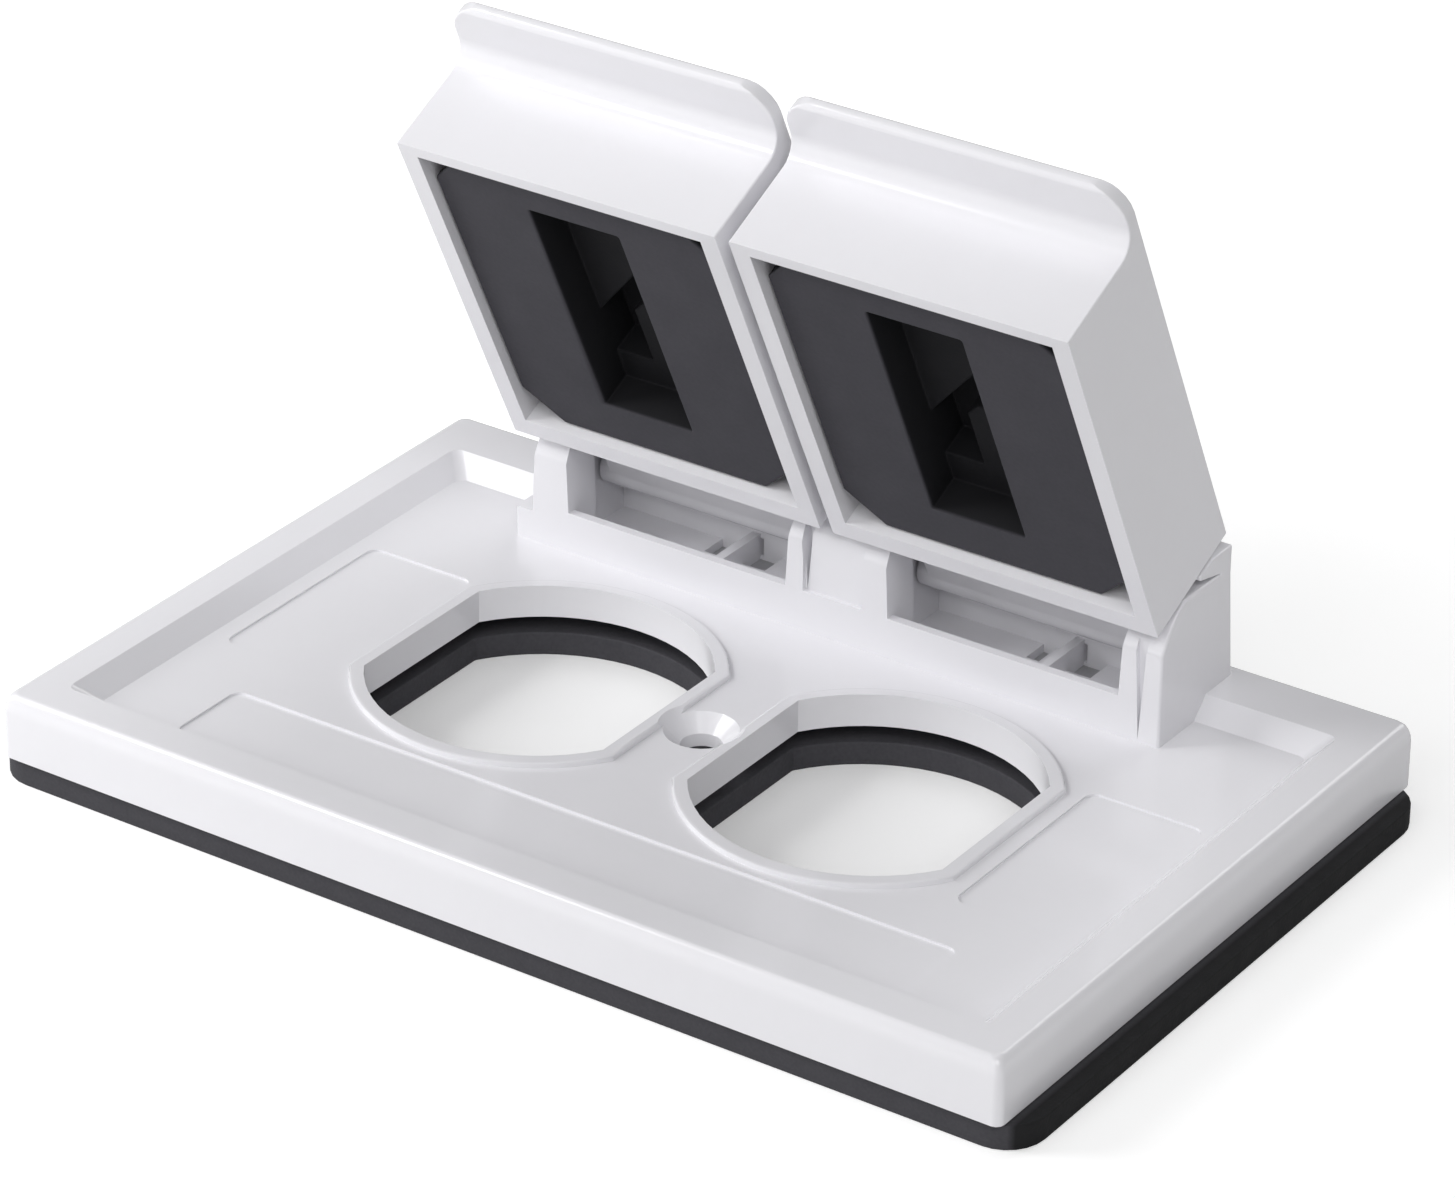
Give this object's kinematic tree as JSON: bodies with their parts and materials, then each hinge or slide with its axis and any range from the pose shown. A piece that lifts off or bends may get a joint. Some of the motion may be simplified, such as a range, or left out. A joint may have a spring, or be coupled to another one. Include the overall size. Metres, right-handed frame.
{
  "type": "weatherproof duplex outlet cover",
  "caption": "Weatherproof duplex outlet cover plate on a foam wall gasket, with side-by-side lids hinged in a moulded housing and soft pads inside the lids.",
  "frame": {"origin": "bottom centre of the bounding box, on the wall side of the gasket", "axes": "+X along the long side past both receptacle openings, +Y towards the hinge housing, +Z away from the wall"},
  "size_m": [0.1192, 0.0752, 0.0714],
  "materials": {
    "white_plastic": "moulded white plastic with a soft gloss",
    "pad_foam": "matt charcoal closed-cell foam",
    "gasket_foam": "matt black foam rubber"
  },
  "bodies": {
    "base": {"cover_plate": "white_plastic", "wall_gasket": "gasket_foam"},
    "left_cover": {"left_lid": "white_plastic", "left_lid_pad": "pad_foam"},
    "right_cover": {"right_lid": "white_plastic", "right_lid_pad": "pad_foam"}
  },
  "joints": [
    {"name": "left_lid_hinge", "type": "hinge", "parent": "base", "child": "left_cover", "pos_m": [-0.01945, 0.03051, 0.01408], "axis": [1, 0, 0], "range_deg": [0, 64]},
    {"name": "right_lid_hinge", "type": "hinge", "parent": "base", "child": "right_cover", "pos_m": [0.01945, 0.03051, 0.01408], "axis": [1, 0, 0], "range_deg": [0, 64]}
  ]
}
